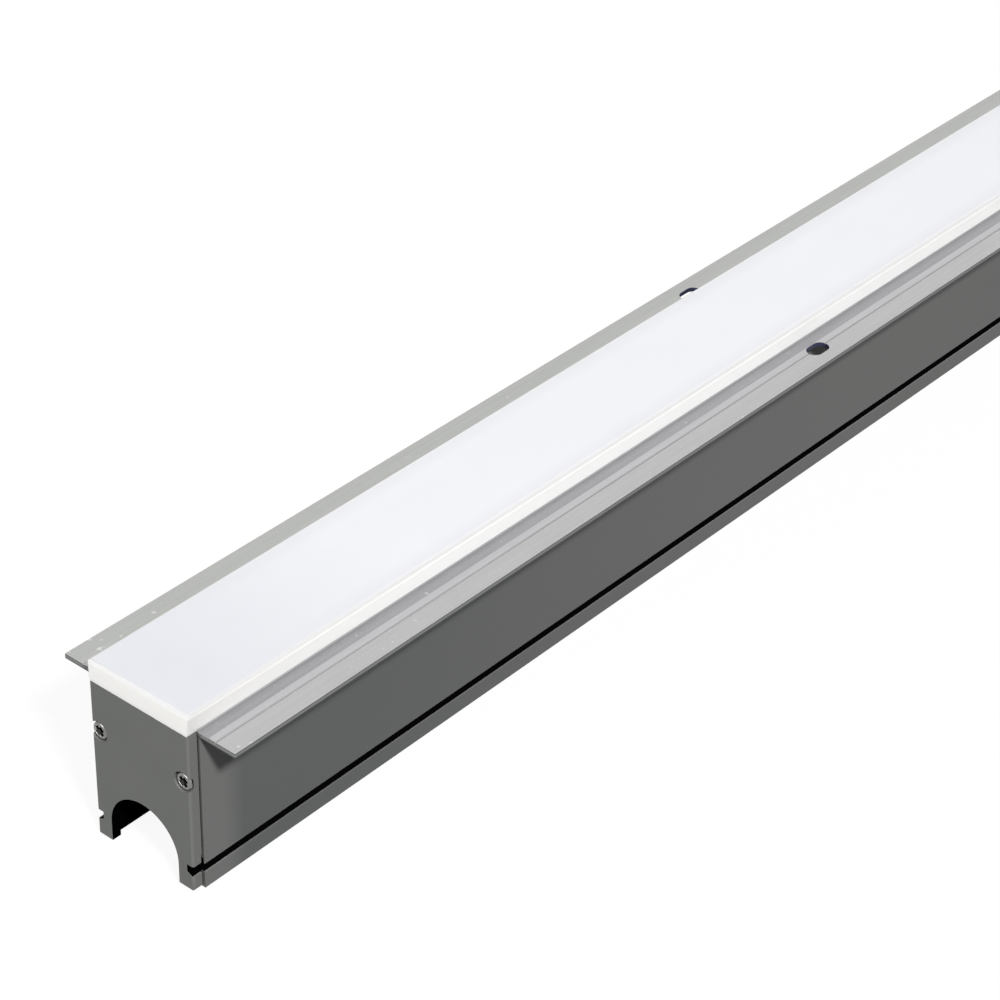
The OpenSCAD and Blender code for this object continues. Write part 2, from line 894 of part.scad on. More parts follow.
housing_profile();
diffuser_cover();
cover_seal(NEAR);  // cover_seal_near
cover_seal(FAR);  // cover_seal_far
end_cap(LEFT);  // end_cap_left
end_cap(RIGHT);  // end_cap_right
end_gasket(LEFT);  // end_gasket_left
end_gasket(RIGHT);  // end_gasket_right
end_screws(LEFT);  // end_screws_left
end_screws(RIGHT);  // end_screws_right
led_board(LEFT);  // led_board_left
led_board(RIGHT);  // led_board_right
thermal_pads(LEFT);  // thermal_pads_left
thermal_pads(RIGHT);  // thermal_pads_right
led_packages(LEFT);  // led_packages_left
led_packages(RIGHT);  // led_packages_right
current_regulators();
series_resistors();
board_screws();
board_connectors();
link_wires();
gland_body(LEFT);  // gland_body_left
gland_body(RIGHT);  // gland_body_right
gland_dome_nut(LEFT);  // gland_dome_nut_left
gland_dome_nut(RIGHT);  // gland_dome_nut_right
gland_seal(LEFT);  // gland_seal_left
gland_seal(RIGHT);  // gland_seal_right
gland_lock_nut(LEFT);  // gland_lock_nut_left
gland_lock_nut(RIGHT);  // gland_lock_nut_right
gland_ring_seals();
vent_plug();
vent_ring_seal();
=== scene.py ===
import math

import bmesh
import bpy
from mathutils import Matrix, Vector


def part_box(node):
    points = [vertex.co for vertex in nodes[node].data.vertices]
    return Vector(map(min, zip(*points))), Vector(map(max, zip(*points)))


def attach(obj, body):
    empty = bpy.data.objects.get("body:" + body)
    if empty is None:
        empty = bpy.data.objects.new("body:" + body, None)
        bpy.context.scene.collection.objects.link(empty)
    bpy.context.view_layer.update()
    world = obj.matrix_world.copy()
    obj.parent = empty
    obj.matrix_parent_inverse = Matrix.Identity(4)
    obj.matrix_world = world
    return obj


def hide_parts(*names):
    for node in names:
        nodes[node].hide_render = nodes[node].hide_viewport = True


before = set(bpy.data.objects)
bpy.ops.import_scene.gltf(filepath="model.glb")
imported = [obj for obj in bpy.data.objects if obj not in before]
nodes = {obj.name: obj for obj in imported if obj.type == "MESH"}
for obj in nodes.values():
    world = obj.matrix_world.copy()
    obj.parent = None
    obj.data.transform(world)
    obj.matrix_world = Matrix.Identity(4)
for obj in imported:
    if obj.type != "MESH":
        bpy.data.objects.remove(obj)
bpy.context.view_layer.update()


# Housing extrusion
# One length of 6063 aluminium, pushed through a die, so every edge and score runs along X.
# It is blasted and anodised in a dark grey. The two flange faces stay in view on the wall
# and are brushed, with a sunk inner strip and a scribed line; they are painted a pale silver grey as painted
# light from above.
MM = 0.001
housing_end, housing_side, housing_top = [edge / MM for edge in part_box("housing_profile")[1]]

DIE_LINE = 0.45  # mm between the score lines that the die leaves
DIE_LINE_L = 112.5  # mm, length of a score line
BLAST_GRAIN = 0.35  # mm, coarser than the real 0.1 mm so that it shows
BLAST_RELIEF = 0.02  # mm deep
DYE_PATCH = 60  # mm across a patch that took the dye a little warmer or cooler
BRUSH = 0.9  # mm between brush strokes, coarser than the real 0.2 mm so that they show
BRUSH_L = 30  # mm, length of a stroke
FLECK = 2.2  # mm, size of the bright handling marks on the silver faces
HANDLED_X = (450, 490)  # mm from the middle, the marks gather from the first to the second
PALE_MIDDLE_X = (450, 220)  # mm from the middle, the wall is painted paler from the first to the second, as painted light
CUT_END_X = (482, 489)  # mm from the middle, and painted paler again towards the cut end, as painted light

FLANGE_DEPTH = 1.5  # mm below the top, everything higher is flange
FLANGE_RIM = 0.15  # mm, the flange's cut edges lie this near to its outline
RIM_MIDDLE_DEPTH = 0.675  # mm below the top, the middle of the rim's flat part
RIM_MIDDLE_HALF = 0.375  # mm, half the height of that part, the rest is painted darker as shade on the rounded corners
SUNK_STRIP_Y = 20.65  # mm from the middle to the strip's edge
SCRIBE_Y = 23.1  # mm from the middle to the scribed line
SCRIBE_W = 0.6  # mm
SLOT_X = 250  # mm from the middle to a slot, along the light
SLOT_Y = 23.3  # mm from the middle to a slot, across it
SLOT_HALF_L = 5  # mm, half a slot's length and a little more
SLOT_HALF_W = 2.7  # mm, half a slot's width and a little more
GROOVE_Y = 17.3  # mm from the middle, the clip groove is painted black as shade inside this
GROOVE_Z = 7.4  # mm, the middle of the black
GROOVE_HALF = 2.1  # mm, it reaches down to the middle of the bevel under the groove's mouth
CHANNEL_Y = 16.3  # mm from the middle, just behind the face of the channel's wall
CHANNEL_Z = 21.6  # mm, just above the channel's roof
HOUSING_EDGE = 0.1 * MM  # round on the extrusion's edges

BODY_COOL = "#636564"
BODY_WARM = "#676867"
BODY_MIDDLE_LIGHT = "#717170"
BODY_END_LIGHT = "#737472"
FACE_OUTER = "#bab9b9"
FACE_INNER = "#bdbcbe"
FACE_SCRIBE_SHADE = "#a09ea0"
FACE_FAR = "#b1b2af"
FACE_STRIP = "#a1a0a3"
FACE_MARK = "#e6e6e4"
FLANGE_EDGE = "#828481"
FLANGE_CORNER_SHADE = "#5f615f"
SLOT_SHADE = "#3f4258"
CHANNEL_SHADE = "#050505"


def colour(code):
    """The linear colour of an sRGB hex value such as #8a8b8c."""
    parts = [int(code[i:i + 2], 16) / 255 for i in (1, 3, 5)]
    return [p / 12.92 if p <= 0.04045 else ((p + 0.055) / 1.055) ** 2.4 for p in parts] + [1.0]


def add(tree, kind, settings=None, links=None):
    """Adds one node. A setting is a property of the node or else an input, and a link feeds an input."""
    node = tree.nodes.new("ShaderNode" + kind)
    for name, value in (settings or {}).items():
        if isinstance(name, str) and hasattr(node, name):
            setattr(node, name, value)
        else:
            node.inputs[name].default_value = value
    for name, source in (links or {}).items():
        tree.links.new(source, node.inputs[name])
    return node


def new_material(name):
    """An empty material, its node tree, and the place on the object in millimetres."""
    material = bpy.data.materials.new(name)
    material.use_nodes = True
    tree = material.node_tree
    tree.nodes.clear()
    where = add(tree, "TexCoord").outputs["Object"]
    place = add(tree, "VectorMath", {"operation": "SCALE", "Scale": 1 / MM}, {0: where}).outputs[0]
    return material, tree, place


def dress(material, *names):
    """Gives CAD nodes their finish."""
    for name in names:
        nodes[name].material_slots[0].material = material


SAME_POINT = 0.001 * MM  # corners nearer than this are joined
SHARP_TURN = 35  # degrees, an edge that turns more is broken
EDGE_STEPS = 2  # faces across a broken edge


def soften(width, *names):
    """Breaks the sharp edges of CAD nodes by a small round of the given width."""
    for name in names:
        weld = nodes[name].modifiers.new("Join faces", "WELD")
        weld.merge_threshold = SAME_POINT
        bevel = nodes[name].modifiers.new("Broken edges", "BEVEL")
        bevel.width = width
        bevel.segments = EDGE_STEPS
        bevel.limit_method = "ANGLE"
        bevel.angle_limit = math.radians(SHARP_TURN)
        shade = nodes[name].modifiers.new("Even shading", "WEIGHTED_NORMAL")
        shade.keep_sharp = True


# The eye sees a matt, slightly warm grey with hardly a shine, and a dull silver on top, painted paler as
# painted light from above.
# The grooves and the channel are painted black, as painted shade.
anodised_grey, tree, place = new_material("blasted_grey_anodised_aluminium")
axes = add(tree, "SeparateXYZ", links={0: place})
along = add(tree, "Math", {"operation": "ABSOLUTE"}, {0: axes.outputs["X"]}).outputs[0]
off_middle = add(tree, "Math", {"operation": "ABSOLUTE"}, {0: axes.outputs["Y"]}).outputs[0]
height_here = axes.outputs["Z"]
normal = add(tree, "NewGeometry").outputs["True Normal"]
upward = add(tree, "SeparateXYZ", links={0: normal}).outputs["Z"]

# The score lines and strokes hardly change along the length and change quickly across it.
score = add(tree, "VectorMath", {"operation": "MULTIPLY", 1: (DIE_LINE / DIE_LINE_L, 1, 1)},
            {0: place}).outputs[0]
score = add(tree, "TexNoise", {"Scale": 1 / DIE_LINE, "Detail": 3.0}, {"Vector": score}).outputs["Fac"]
stroke = add(tree, "VectorMath", {"operation": "MULTIPLY", 1: (BRUSH / BRUSH_L, 1, 1)},
             {0: place}).outputs[0]
stroke = add(tree, "TexNoise", {"Scale": 1 / BRUSH, "Detail": 1.0}, {"Vector": stroke}).outputs["Fac"]
grain = add(tree, "TexNoise", {"Scale": 1 / BLAST_GRAIN, "Detail": 2.0}, {"Vector": place}).outputs["Fac"]
cloud = add(tree, "TexNoise", {"Scale": 1 / DYE_PATCH, "Detail": 2.0}, {"Vector": place}).outputs["Fac"]

# The grey wall
painted_light_middle = add(tree, "MapRange", {"From Min": PALE_MIDDLE_X[0], "From Max": PALE_MIDDLE_X[1]},
                 {"Value": along}).outputs[0]
painted_light_end = add(tree, "MapRange", {"From Min": CUT_END_X[0], "From Max": CUT_END_X[1]},
               {"Value": along}).outputs[0]
wall = add(tree, "Mix", {"data_type": "RGBA", 6: colour(BODY_COOL), 7: colour(BODY_WARM)},
           {0: cloud}).outputs[2]
# Painted light: the wall is painted paler towards the middle of the length.
wall = add(tree, "Mix", {"data_type": "RGBA", 7: colour(BODY_MIDDLE_LIGHT)}, {0: painted_light_middle, 6: wall}).outputs[2]
# Painted light: the wall is painted paler near the cut end, where light reaches under the flange.
wall = add(tree, "Mix", {"data_type": "RGBA", 7: colour(BODY_END_LIGHT)}, {0: painted_light_end, 6: wall}).outputs[2]

# The flange faces, painted paler than the wall as painted light from above: outer band, inner band, scribed
# line and sunk strip
far = add(tree, "Math", {"operation": "GREATER_THAN", 1: 0.0}, {0: axes.outputs["Y"]}).outputs[0]
in_band = add(tree, "Math", {"operation": "LESS_THAN", 1: SCRIBE_Y - SCRIBE_W / 2},
              {0: off_middle}).outputs[0]
on_scribe = add(tree, "Math", {"operation": "COMPARE", 1: SCRIBE_Y, 2: SCRIBE_W / 2},
                {0: off_middle}).outputs[0]
on_strip = add(tree, "Math", {"operation": "LESS_THAN", 1: SUNK_STRIP_Y}, {0: off_middle}).outputs[0]
# Painted light: the flange faces are painted paler than the grey wall, as light from above.
face = add(tree, "Mix", {"data_type": "RGBA", 6: colour(FACE_OUTER), 7: colour(FACE_FAR)},
           {0: far}).outputs[2]
face = add(tree, "Mix", {"data_type": "RGBA", 7: colour(FACE_INNER)}, {0: in_band, 6: face}).outputs[2]
# Painted shade: the scribed line is painted darker, as the shade in its groove.
face = add(tree, "Mix", {"data_type": "RGBA", 7: colour(FACE_SCRIBE_SHADE)}, {0: on_scribe, 6: face}).outputs[2]
face = add(tree, "Mix", {"data_type": "RGBA", 7: colour(FACE_STRIP)}, {0: on_strip, 6: face}).outputs[2]

# Handling marks, which are the peaks of a noise that rises towards the ends and on the far face
marks = add(tree, "TexNoise", {"Scale": 1 / FLECK, "Detail": 1.0}, {"Vector": place}).outputs["Fac"]
handled = add(tree, "MapRange", {"From Min": HANDLED_X[0], "From Max": HANDLED_X[1], "To Max": 0.05},
              {"Value": along}).outputs[0]
far_wear = add(tree, "MapRange", {"To Min": 1.0, "To Max": 1.9}, {"Value": far}).outputs[0]
handled = add(tree, "Math", {"operation": "MULTIPLY"}, {0: handled, 1: far_wear}).outputs[0]
marks = add(tree, "Math", {"operation": "ADD"}, {0: marks, 1: handled}).outputs[0]
marks = add(tree, "MapRange", {"From Min": 0.75, "From Max": 0.85, "To Max": 0.55},
            {"Value": marks}).outputs[0]
face = add(tree, "Mix", {"data_type": "RGBA", 7: colour(FACE_MARK)}, {0: marks, 6: face}).outputs[2]

# Where the flange, its cut rim, its slots and its faces are
is_flange = add(tree, "Math", {"operation": "GREATER_THAN", 1: housing_top - FLANGE_DEPTH},
                {0: height_here}).outputs[0]
looks_aside = add(tree, "Math", {"operation": "COMPARE", 1: 0.0, 2: 0.5}, {0: upward}).outputs[0]
not_down = add(tree, "Math", {"operation": "GREATER_THAN", 1: -0.5}, {0: upward}).outputs[0]
is_side = add(tree, "Math", {"operation": "MULTIPLY"}, {0: is_flange, 1: looks_aside}).outputs[0]
at_slot_x = add(tree, "Math", {"operation": "COMPARE", 1: SLOT_X, 2: SLOT_HALF_L}, {0: along}).outputs[0]
at_slot_y = add(tree, "Math", {"operation": "COMPARE", 1: SLOT_Y, 2: SLOT_HALF_W},
                {0: off_middle}).outputs[0]
in_shaded_slot = add(tree, "Math", {"operation": "MULTIPLY"}, {0: at_slot_x, 1: at_slot_y}).outputs[0]
in_shaded_slot = add(tree, "Math", {"operation": "MULTIPLY"}, {0: in_shaded_slot, 1: is_side}).outputs[0]
at_side_rim = add(tree, "Math", {"operation": "GREATER_THAN", 1: housing_side - FLANGE_RIM},
                  {0: off_middle}).outputs[0]
at_end_rim = add(tree, "Math", {"operation": "GREATER_THAN", 1: housing_end - FLANGE_RIM},
                 {0: along}).outputs[0]
on_rim = add(tree, "Math", {"operation": "MAXIMUM"}, {0: at_side_rim, 1: at_end_rim}).outputs[0]
on_rim = add(tree, "Math", {"operation": "MULTIPLY"}, {0: is_side, 1: on_rim}).outputs[0]
on_face = add(tree, "Math", {"operation": "MULTIPLY"}, {0: is_flange, 1: not_down}).outputs[0]
on_face = add(tree, "Math", {"operation": "SUBTRACT"}, {0: on_face, 1: on_rim}).outputs[0]

# Where the channel and the clip grooves are painted black as shade
in_channel = add(tree, "Math", {"operation": "LESS_THAN", 1: CHANNEL_Y}, {0: off_middle}).outputs[0]
under_roof = add(tree, "Math", {"operation": "LESS_THAN", 1: CHANNEL_Z}, {0: height_here}).outputs[0]
in_channel = add(tree, "Math", {"operation": "MULTIPLY"}, {0: in_channel, 1: under_roof}).outputs[0]
in_groove = add(tree, "Math", {"operation": "LESS_THAN", 1: GROOVE_Y}, {0: off_middle}).outputs[0]
at_groove_z = add(tree, "Math", {"operation": "COMPARE", 1: GROOVE_Z, 2: GROOVE_HALF},
                  {0: height_here}).outputs[0]
in_groove = add(tree, "Math", {"operation": "MULTIPLY"}, {0: in_groove, 1: at_groove_z}).outputs[0]
in_painted_shade = add(tree, "Math", {"operation": "MAXIMUM"}, {0: in_channel, 1: in_groove}).outputs[0]

# The tones in their places
rim_middle = add(tree, "Math", {"operation": "COMPARE", 1: housing_top - RIM_MIDDLE_DEPTH,
                                2: RIM_MIDDLE_HALF}, {0: height_here}).outputs[0]
# Painted shade: above and below its middle, the rim's rounded corners are painted darker.
rim = add(tree, "Mix", {"data_type": "RGBA", 6: colour(FLANGE_CORNER_SHADE), 7: colour(FLANGE_EDGE)},
          {0: rim_middle}).outputs[2]
tone = add(tree, "Mix", {"data_type": "RGBA"}, {0: on_face, 6: wall, 7: face}).outputs[2]
tone = add(tree, "Mix", {"data_type": "RGBA"}, {0: on_rim, 6: tone, 7: rim}).outputs[2]
# Painted shade: the slots' walls are painted dark navy.
tone = add(tree, "Mix", {"data_type": "RGBA", 7: colour(SLOT_SHADE)}, {0: in_shaded_slot, 6: tone}).outputs[2]

# Score lines, grain and brush strokes, which lighten and darken the tone by a few per cent
lines = add(tree, "MapRange", {"From Min": 0.3, "From Max": 0.7, "To Min": 0.985, "To Max": 1.015},
            {"Value": score}).outputs[0]
specks = add(tree, "MapRange", {"From Min": 0.3, "From Max": 0.75, "To Min": 0.93, "To Max": 1.07},
             {"Value": grain}).outputs[0]
strokes = add(tree, "MapRange", {"From Min": 0.3, "From Max": 0.7, "To Min": 0.97, "To Max": 1.03},
              {"Value": stroke}).outputs[0]
strokes = add(tree, "Mix", {2: 1.0}, {0: on_face, 3: strokes}).outputs[0]
texture = add(tree, "Math", {"operation": "MULTIPLY"}, {0: lines, 1: specks}).outputs[0]
texture = add(tree, "Math", {"operation": "MULTIPLY"}, {0: texture, 1: strokes}).outputs[0]
tone = add(tree, "VectorMath", {"operation": "SCALE"}, {0: tone, "Scale": texture}).outputs[0]
# Painted shade: the channel and the clip grooves are painted black.
tone = add(tree, "Mix", {"data_type": "RGBA", 7: colour(CHANNEL_SHADE)}, {0: in_painted_shade, 6: tone}).outputs[2]

shine = add(tree, "MapRange", {"To Min": 0.08, "To Max": 0.5}, {"Value": on_face}).outputs[0]
shine = add(tree, "MapRange", {"From Min": 1.0, "From Max": 0.0, "To Min": 0.0},
            {"Value": in_painted_shade, "To Max": shine}).outputs[0]
dull = add(tree, "MapRange", {"From Min": 0.3, "From Max": 0.7, "To Min": 0.42, "To Max": 0.54},
           {"Value": grain}).outputs[0]
relief = add(tree, "Math", {"operation": "ADD"}, {0: score, 1: grain}).outputs[0]
bump = add(tree, "Bump", {"Strength": 0.12, "Distance": BLAST_RELIEF * MM}, {"Height": relief}).outputs[0]
shader = add(tree, "BsdfPrincipled", {"Specular IOR Level": 0.0},
             {"Base Color": tone, "Metallic": shine, "Roughness": dull, "Normal": bump})
add(tree, "OutputMaterial", links={"Surface": shader.outputs[0]})
dress(anodised_grey, "housing_profile")
soften(HOUSING_EDGE, "housing_profile")


# LED boards
# Two strips of 1.6 mm aluminium-core board under white solder mask, screwed down on the
# seat ribs over thin grey thermal pads, with LEDs, regulators and resistors soldered on.
board_low, board_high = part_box("led_board_right")
led_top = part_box("led_packages_left")[1][2] / MM
MASK_T = 0.15  # mm of mask and copper, the bare aluminium core shows below
MASK_GRAIN = 0.4  # mm, coarser than the real 0.2 mm mesh that the mask is printed through
MASK_RELIEF = 0.01  # mm deep

# The eye sees a clean white with half a gloss, and bright bare metal along the sawn edge.
solder_mask, tree, place = new_material("white_solder_mask")
print_mesh = add(tree, "TexNoise", {"Scale": 1 / MASK_GRAIN, "Detail": 2.0}, {"Vector": place}).outputs["Fac"]
height_here = add(tree, "SeparateXYZ", links={0: place}).outputs["Z"]
in_core = add(tree, "Math", {"operation": "LESS_THAN", 1: board_high[2] / MM - MASK_T},
              {0: height_here}).outputs[0]
tone = add(tree, "Mix", {"data_type": "RGBA", 6: colour("#eceeea"), 7: colour("#f4f5f2")},
           {0: print_mesh}).outputs[2]
tone = add(tree, "Mix", {"data_type": "RGBA", 7: colour("#b4b6b8")}, {0: in_core, 6: tone}).outputs[2]
dull = add(tree, "MapRange", {"To Min": 0.35, "To Max": 0.42}, {"Value": in_core}).outputs[0]
bump = add(tree, "Bump", {"Strength": 0.15, "Distance": MASK_RELIEF * MM}, {"Height": print_mesh}).outputs[0]
shader = add(tree, "BsdfPrincipled", {"IOR": 1.5},
             {"Base Color": tone, "Metallic": in_core, "Roughness": dull, "Normal": bump})
add(tree, "OutputMaterial", links={"Surface": shader.outputs[0]})
dress(solder_mask, "led_board_left", "led_board_right")

PAD_FILLER = 0.25  # mm, coarser than the real 0.1 mm grains
PAD_RELIEF = 0.02  # mm deep

# The eye sees a chalky grey without a shine, for the rubber is full of ceramic powder.
thermal_silicone, tree, place = new_material("grey_thermal_silicone")
filler = add(tree, "TexNoise", {"Scale": 1 / PAD_FILLER, "Detail": 3.0}, {"Vector": place}).outputs["Fac"]
tone = add(tree, "Mix", {"data_type": "RGBA", 6: colour("#7f8890"), 7: colour("#949ca3")},
           {0: filler}).outputs[2]
bump = add(tree, "Bump", {"Strength": 0.3, "Distance": PAD_RELIEF * MM}, {"Height": filler}).outputs[0]
shader = add(tree, "BsdfPrincipled", {"Roughness": 0.75, "IOR": 1.41}, {"Base Color": tone, "Normal": bump})
add(tree, "OutputMaterial", links={"Surface": shader.outputs[0]})
dress(thermal_silicone, "thermal_pads_left", "thermal_pads_right")

PHOSPHOR_T = 0.1  # mm, the window is this thick
PHOSPHOR_GRAIN = 0.15  # mm, coarser than the real 0.02 mm grains

# The eye sees a grainy, warm yellow window in a bright white frame.
phosphor_package, tree, place = new_material("led_phosphor_in_white_ppa")
cells = add(tree, "TexNoise", {"Scale": 1 / PHOSPHOR_GRAIN, "Detail": 2.0}, {"Vector": place}).outputs["Fac"]
height_here = add(tree, "SeparateXYZ", links={0: place}).outputs["Z"]
in_phosphor = add(tree, "Math", {"operation": "GREATER_THAN", 1: led_top - PHOSPHOR_T},
                  {0: height_here}).outputs[0]
tone = add(tree, "Mix", {"data_type": "RGBA", 6: colour("#e8c84a"), 7: colour("#f0d870")},
           {0: cells}).outputs[2]
tone = add(tree, "Mix", {"data_type": "RGBA", 6: colour("#f1f0ea")}, {0: in_phosphor, 7: tone}).outputs[2]
shader = add(tree, "BsdfPrincipled", {"Roughness": 0.3, "IOR": 1.41}, {"Base Color": tone})
add(tree, "OutputMaterial", links={"Surface": shader.outputs[0]})
dress(phosphor_package, "led_packages_left", "led_packages_right")

CHIP_COUNT = 5  # regulators on a board, spread evenly, with the resistors opposite them
RESISTOR_HALF = 1.15  # mm, half of a resistor's dark body, its end bands lie past this
PIN_Y = 1.95  # mm from the middle of the regulators' row, their pins stand out past this
EPOXY_FILLER = 0.12  # mm, coarser than the real 0.05 mm grains
EPOXY_RELIEF = 0.01  # mm deep
chip_pitch = (board_high[0] - board_low[0]) / CHIP_COUNT / MM
row_low, row_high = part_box("current_regulators")
row_y = (row_low[1] + row_high[1]) / 2 / MM

# The eye sees dull black bodies, and a bright, soft silver on soldered pins and end bands.
black_epoxy, tree, place = new_material("black_epoxy_with_tinned_pins")
filler = add(tree, "TexNoise", {"Scale": 1 / EPOXY_FILLER, "Detail": 3.0}, {"Vector": place}).outputs["Fac"]
axes = add(tree, "SeparateXYZ", links={0: place})
along = add(tree, "Math", {"operation": "ABSOLUTE"}, {0: axes.outputs["X"]}).outputs[0]
from_chip = add(tree, "Math", {"operation": "SUBTRACT", 1: board_low[0] / MM}, {0: along}).outputs[0]
from_chip = add(tree, "Math", {"operation": "WRAP", 1: chip_pitch, 2: 0.0}, {0: from_chip}).outputs[0]
from_chip = add(tree, "Math", {"operation": "SUBTRACT", 1: chip_pitch / 2}, {0: from_chip}).outputs[0]
from_chip = add(tree, "Math", {"operation": "ABSOLUTE"}, {0: from_chip}).outputs[0]
end_band = add(tree, "Math", {"operation": "GREATER_THAN", 1: RESISTOR_HALF}, {0: from_chip}).outputs[0]
from_row = add(tree, "Math", {"operation": "SUBTRACT", 1: row_y}, {0: axes.outputs["Y"]}).outputs[0]
from_row = add(tree, "Math", {"operation": "ABSOLUTE"}, {0: from_row}).outputs[0]
is_pin = add(tree, "Math", {"operation": "GREATER_THAN", 1: PIN_Y}, {0: from_row}).outputs[0]
is_chip = add(tree, "Math", {"operation": "GREATER_THAN", 1: 0.0}, {0: axes.outputs["Y"]}).outputs[0]
tinned = add(tree, "Mix", {}, {0: is_chip, 2: end_band, 3: is_pin}).outputs[0]
tone = add(tree, "Mix", {"data_type": "RGBA", 6: colour("#1c1c1d"), 7: colour("#2a2a2b")},
           {0: filler}).outputs[2]
tone = add(tree, "Mix", {"data_type": "RGBA", 7: colour("#c9cacb")}, {0: tinned, 6: tone}).outputs[2]
dull = add(tree, "MapRange", {"To Min": 0.6, "To Max": 0.32}, {"Value": tinned}).outputs[0]
bump = add(tree, "Bump", {"Strength": 0.3, "Distance": EPOXY_RELIEF * MM}, {"Height": filler}).outputs[0]
shader = add(tree, "BsdfPrincipled", {"IOR": 1.55},
             {"Base Color": tone, "Metallic": tinned, "Roughness": dull, "Normal": bump})
add(tree, "OutputMaterial", links={"Surface": shader.outputs[0]})
dress(black_epoxy, "current_regulators", "series_resistors")

TOOL_MARK = 0.2  # mm between the marks, coarser than the real 0.05 mm

# The eye sees a bright, slightly warm silver with the fine marks of the turning tool.
stainless, tree, place = new_material("turned_stainless_steel")
turning = add(tree, "TexNoise", {"Scale": 1 / TOOL_MARK, "Detail": 2.0}, {"Vector": place}).outputs["Fac"]
tone = add(tree, "Mix", {"data_type": "RGBA", 6: colour("#b9b8b4"), 7: colour("#d6d5d1")},
           {0: turning}).outputs[2]
shader = add(tree, "BsdfPrincipled", {"Metallic": 1.0, "Roughness": 0.22}, {"Base Color": tone})
add(tree, "OutputMaterial", links={"Surface": shader.outputs[0]})
dress(stainless, "board_screws")

NYLON_STREAK = 2.0  # mm between the streaks of the moulding

# The eye sees a milky, warm white with a soft gloss and faint streaks.
natural_nylon, tree, place = new_material("natural_white_nylon")
flow = add(tree, "TexNoise", {"Scale": 1 / NYLON_STREAK, "Detail": 2.0}, {"Vector": place}).outputs["Fac"]
tone = add(tree, "Mix", {"data_type": "RGBA", 6: colour("#e6e2d6"), 7: colour("#efece2")},
           {0: flow}).outputs[2]
shader = add(tree, "BsdfPrincipled", {"Roughness": 0.45, "IOR": 1.53}, {"Base Color": tone})
add(tree, "OutputMaterial", links={"Surface": shader.outputs[0]})
dress(natural_nylon, "board_connectors")

SLEEVE_STREAK = 1.0  # mm between the streaks of the extrusion

# The eye sees a plain deep red with a soft shine, as extruded wire sleeve has.
pvc_sleeve, tree, place = new_material("pvc_wire_sleeve")
flow = add(tree, "TexNoise", {"Scale": 1 / SLEEVE_STREAK, "Detail": 2.0}, {"Vector": place}).outputs["Fac"]
tone = add(tree, "Mix", {"data_type": "RGBA", 6: colour("#a01c1c"), 7: colour("#b02424")},
           {0: flow}).outputs[2]
shader = add(tree, "BsdfPrincipled", {"Roughness": 0.4, "IOR": 1.52}, {"Base Color": tone})
add(tree, "OutputMaterial", links={"Surface": shader.outputs[0]})
dress(pvc_sleeve, "link_wires")


# End screws
# M3 pan heads of cold-headed stainless steel, two in each end cap, sunk in their seats. A
# punch has driven in the cross recess, which narrows towards its floor and is painted black as shade.
HEAD_H = 1.3 * MM
HEAD_CROWN = 0.2 * MM  # rise of the head's slightly domed top
HEAD_EDGE = 0.55 * MM  # radius of the head's shoulder
HEAD_UNDERCUT = 0.1 * MM  # bevel under the head's rim
THREAD_R = 1.5 * MM
CORE_R = 1.2 * MM
THREAD_PITCH = 0.5 * MM
SHANK_L = 14 * MM
TIP_H = 0.4 * MM  # length of the cone at the tip
TIP_R = 0.8 * MM
RECESS_DEPTH = 1.2 * MM
ARM_W = (1.6 * MM, 0.9 * MM)  # at the mouth and at the floor of the recess
ARM_L = (3.1 * MM, 1.9 * MM)
ARM_TURNS = (45, 135)  # degrees, the two arms of the cross
PUNCH_RISE = HEAD_EDGE  # the punch stands this far out of the head
PUNCH_FLARE = 1.25  # and is this many times wider there than at the mouth
FACETS = 64  # faces round a head
CROWN_RINGS = 8  # steps from the axis to the shoulder
SHOULDER_STEP = 15  # degrees between the rings of the shoulder
SMOOTH_TURN = 40  # degrees, an edge that turns more stays sharp


def closed_mesh(shape, name):
    """The mesh of a closed shape, with its faces turned outwards."""
    bmesh.ops.recalc_face_normals(shape, faces=shape.faces)
    mesh = bpy.data.meshes.new(name)
    shape.to_mesh(mesh)
    shape.free()
    return mesh


def lathe(profile, name):
    """A closed mesh from a profile of (distance along the axis, radius), turned round the X axis."""
    shape = bmesh.new()
    angles = [2 * math.pi * i / FACETS for i in range(FACETS)]
    rings = []
    for x, r in profile:
        if r == 0:
            rings.append([shape.verts.new((x, 0, 0))] * FACETS)
        else:
            rings.append([shape.verts.new((x, r * math.cos(a), r * math.sin(a))) for a in angles])
    for first, second in zip(rings, rings[1:]):
        for i in range(FACETS):
            j = (i + 1) % FACETS
            corners = []
            for corner in (first[i], first[j], second[j], second[i]):
                if corner not in corners:
                    corners.append(corner)
            shape.faces.new(corners)
    return closed_mesh(shape, name)


def recess_punch(name):
    """The punch for the recess: two crossed wedges that narrow from the mouth to the floor."""
    shape = bmesh.new()
    outside = (-PUNCH_RISE, PUNCH_FLARE * ARM_L[0], PUNCH_FLARE * ARM_W[0])
    inside = (RECESS_DEPTH, ARM_L[1], ARM_W[1])
    for turn in ARM_TURNS:
        turned = Matrix.Rotation(math.radians(turn), 3, "X")
        corners = []
        for x, length, width in (outside, inside):
            for a, b in ((-1, -1), (1, -1), (1, 1), (-1, 1)):
                corners.append(shape.verts.new(turned @ Vector((x, a * length / 2, b * width / 2))))
        for face in ((0, 1, 2, 3), (7, 6, 5, 4), (0, 4, 5, 1), (1, 5, 6, 2), (2, 6, 7, 3), (3, 7, 4, 0)):
            shape.faces.new([corners[i] for i in face])
    return closed_mesh(shape, name)


